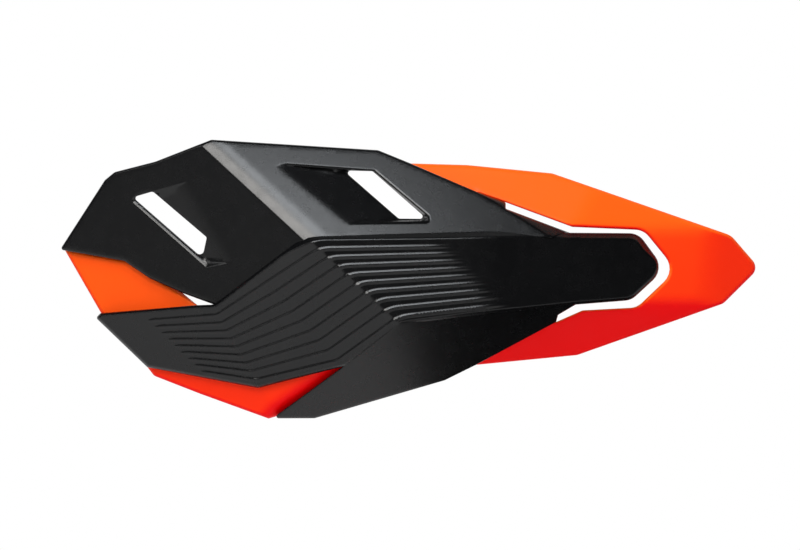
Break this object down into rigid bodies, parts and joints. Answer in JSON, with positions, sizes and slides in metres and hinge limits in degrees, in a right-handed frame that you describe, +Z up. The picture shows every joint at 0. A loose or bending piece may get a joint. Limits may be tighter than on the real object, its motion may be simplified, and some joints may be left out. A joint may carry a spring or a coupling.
{
  "type": "motorcycle hand guard",
  "caption": "Two-layer moulded hand guard with a ribbed front shield, air scoops, an open ringed tip, and a forked bar clamp with an arm.",
  "frame": {"origin": "centre of the handlebar in the clamp, midway along the clamp", "axes": "+X outboard along the handlebar, -Y forward towards the wind, +Z up"},
  "size_m": [0.2679, 0.1318, 0.1074],
  "materials": {
    "shield_black": "satin moulded black",
    "shield_orange": "semi-gloss moulded orange",
    "arm_nylon": "matt glass-filled nylon",
    "clamp_alloy": "bead-blasted, clear anodised",
    "sleeve_nylon": "matt black nylon",
    "zinc_steel": "zinc plated",
    "screw_black": "black oxide",
    "insert_brass": "machined"
  },
  "bodies": {
    "root": {"front_shield": "shield_black", "inner_shield": "shield_orange", "mount_arm": "arm_nylon", "pivot_bush": "zinc_steel", "clamp_body": "clamp_alloy", "clamp_cap": "clamp_alloy", "bar_sleeve_front": "sleeve_nylon", "bar_sleeve_rear": "sleeve_nylon", "pivot_bolt": "zinc_steel", "pivot_nut": "zinc_steel", "upper_pivot_washer": "zinc_steel", "lower_pivot_washer": "zinc_steel", "upper_clamp_screw": "zinc_steel", "lower_clamp_screw": "zinc_steel", "upper_clamp_nut": "zinc_steel", "lower_clamp_nut": "zinc_steel", "inboard_insert": "insert_brass", "outboard_insert": "insert_brass", "inboard_arm_bolt": "zinc_steel", "outboard_arm_bolt": "zinc_steel", "inboard_arm_washer": "zinc_steel", "outboard_arm_washer": "zinc_steel", "inboard_shield_screw": "screw_black", "top_shield_screw": "screw_black", "middle_shield_screw": "screw_black", "wing_shield_screw": "screw_black", "bottom_shield_screw": "screw_black", "lower_shield_screw": "screw_black"}
  },
  "joints": []
}
